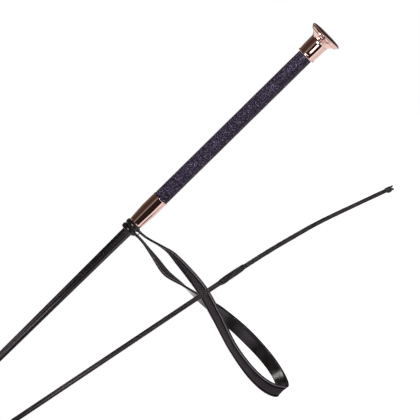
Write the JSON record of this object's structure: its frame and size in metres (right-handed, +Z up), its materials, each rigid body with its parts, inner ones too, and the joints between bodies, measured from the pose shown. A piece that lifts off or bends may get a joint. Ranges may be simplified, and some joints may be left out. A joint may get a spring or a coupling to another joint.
{
  "type": "riding crop",
  "caption": "Dressage whip: flared metal cap, sleeved grip, tapered ferrule, twisted wrist loop, braided flexible shaft bent back on itself, cord lash with end knot.",
  "frame": {"origin": "centre of the cap's flat end face", "axes": "+X out of the cap, along the handle; the shaft runs towards -X; +Z up, with the wrist loop hanging along -Z; the bent-back tip passes on the -Y side"},
  "size_m": [0.5421, 0.2365, 0.2105],
  "materials": {
    "rose_gold": "polished rose-gold plate",
    "steel": "turned",
    "tube_plastic": "matte",
    "foam": "matte foam",
    "glitter_grip": "dark navy glitter leatherette",
    "fibreglass": "glass fibre rod",
    "black_braid": "waxed nylon braid",
    "black_leather": "matte black leather",
    "patent_lining": "glossy black leather",
    "black_thread": "waxed thread",
    "lash_cord": "braided cord"
  },
  "bodies": {
    "handle": {"cap_head": "rose_gold", "cap_face_plate": "rose_gold", "cap_stud": "steel", "balance_weight": "steel", "cap_collar": "rose_gold", "handle_tube": "tube_plastic", "grip_padding": "foam", "grip_cover": "glitter_grip", "butt_bush": "tube_plastic", "ferrule": "rose_gold", "ferrule_bush": "tube_plastic", "shaft_core_butt": "fibreglass", "shaft_braid_butt": "black_braid"},
    "loop_wraps": {"wrap_ring_upper": "black_leather", "wrap_ring_lower": "black_leather", "strap_keeper": "black_leather"},
    "wrist_loop": {"strap_outer": "black_leather", "strap_lining": "patent_lining"},
    "shaft_link_1": {"shaft_core_1": "fibreglass", "shaft_braid_1": "black_braid"},
    "shaft_link_2": {"shaft_core_2": "fibreglass", "shaft_braid_2": "black_braid"},
    "shaft_link_3": {"shaft_core_3": "fibreglass", "shaft_braid_3": "black_braid"},
    "shaft_link_4": {"shaft_core_4": "fibreglass", "shaft_braid_4": "black_braid"},
    "shaft_link_5": {"shaft_core_5": "fibreglass", "shaft_braid_5": "black_braid"},
    "shaft_link_6": {"shaft_core_6": "fibreglass", "shaft_braid_6": "black_braid"},
    "shaft_link_7": {"shaft_core_7": "fibreglass", "shaft_braid_7": "black_braid"},
    "shaft_tip": {"shaft_core_tip": "fibreglass", "shaft_braid_tip": "black_braid", "tip_whipping": "black_thread"},
    "lash_1": {"lash_cord_1": "lash_cord"},
    "lash_2": {"lash_cord_2": "lash_cord"},
    "lash_3": {"lash_cord_3": "lash_cord", "lash_knot": "lash_cord", "lash_tails": "lash_cord"}
  },
  "joints": [
    {"name": "loop_turn", "type": "hinge", "parent": "handle", "child": "loop_wraps", "pos_m": [-0.2402, 0, 0], "axis": [1, 0, 0], "continuous": true},
    {"name": "loop_swing", "type": "hinge", "parent": "loop_wraps", "child": "wrist_loop", "pos_m": [-0.2402, 0, -0.012], "axis": [0, 1, 0], "range_deg": [-55, 55]},
    {"name": "shaft_flex_1", "type": "hinge", "parent": "handle", "child": "shaft_link_1", "pos_m": [-0.45, 0, 0], "axis": [0.0914, -0.0401, 0.995], "range_deg": [-22.5, 0]},
    {"name": "shaft_flex_2", "type": "hinge", "parent": "shaft_link_1", "child": "shaft_link_2", "pos_m": [-0.49046, -0.01665, -0.00097], "axis": [0.0914, -0.0401, 0.995], "range_deg": [-22.5, 0]},
    {"name": "shaft_flex_3", "type": "hinge", "parent": "shaft_link_2", "child": "shaft_link_3", "pos_m": [-0.52151, -0.04739, -0.00338], "axis": [0.0914, -0.0401, 0.995], "range_deg": [-22.5, 0]},
    {"name": "shaft_flex_4", "type": "hinge", "parent": "shaft_link_3", "child": "shaft_link_4", "pos_m": [-0.53848, -0.08752, -0.00746], "axis": [0.0914, -0.0401, 0.995], "range_deg": [-22.5, 0]},
    {"name": "shaft_flex_5", "type": "hinge", "parent": "shaft_link_4", "child": "shaft_link_5", "pos_m": [-0.53885, -0.1309, -0.0132], "axis": [0.0914, -0.0401, 0.995], "range_deg": [-22.5, 0]},
    {"name": "shaft_flex_6", "type": "hinge", "parent": "shaft_link_5", "child": "shaft_link_6", "pos_m": [-0.52261, -0.17091, -0.02032], "axis": [0.0914, -0.0401, 0.995], "range_deg": [-22.5, 0]},
    {"name": "shaft_flex_7", "type": "hinge", "parent": "shaft_link_6", "child": "shaft_link_7", "pos_m": [-0.49229, -0.20142, -0.02836], "axis": [0.0914, -0.0401, 0.995], "range_deg": [-22.5, 0]},
    {"name": "shaft_flex_8", "type": "hinge", "parent": "shaft_link_7", "child": "shaft_tip", "pos_m": [-0.45256, -0.21778, -0.03669], "axis": [0.0914, -0.0401, 0.995], "range_deg": [-22.5, 0]},
    {"name": "lash_sway", "type": "hinge", "parent": "shaft_tip", "child": "lash_1", "pos_m": [-0.16348, -0.21562, -0.09018], "axis": [0.2195, 0.0016, 0.9756], "range_deg": [-45, 45]},
    {"name": "lash_curl_1", "type": "hinge", "parent": "lash_1", "child": "lash_2", "pos_m": [-0.1186, -0.21529, -0.10028], "axis": [0.0075, -1, 0], "range_deg": [-40, 40]},
    {"name": "lash_curl_2", "type": "hinge", "parent": "lash_2", "child": "lash_3", "pos_m": [-0.08205, -0.21501, -0.11068], "axis": [0.0075, -1, 0], "range_deg": [-40, 40]}
  ],
  "couplings": [
    {"joint": "shaft_flex_2", "follows": "shaft_flex_1", "ratio": 1},
    {"joint": "shaft_flex_3", "follows": "shaft_flex_1", "ratio": 1},
    {"joint": "shaft_flex_4", "follows": "shaft_flex_1", "ratio": 1},
    {"joint": "shaft_flex_5", "follows": "shaft_flex_1", "ratio": 1},
    {"joint": "shaft_flex_6", "follows": "shaft_flex_1", "ratio": 1},
    {"joint": "shaft_flex_7", "follows": "shaft_flex_1", "ratio": 1},
    {"joint": "shaft_flex_8", "follows": "shaft_flex_1", "ratio": 1},
    {"joint": "lash_curl_2", "follows": "lash_curl_1", "ratio": 1}
  ]
}
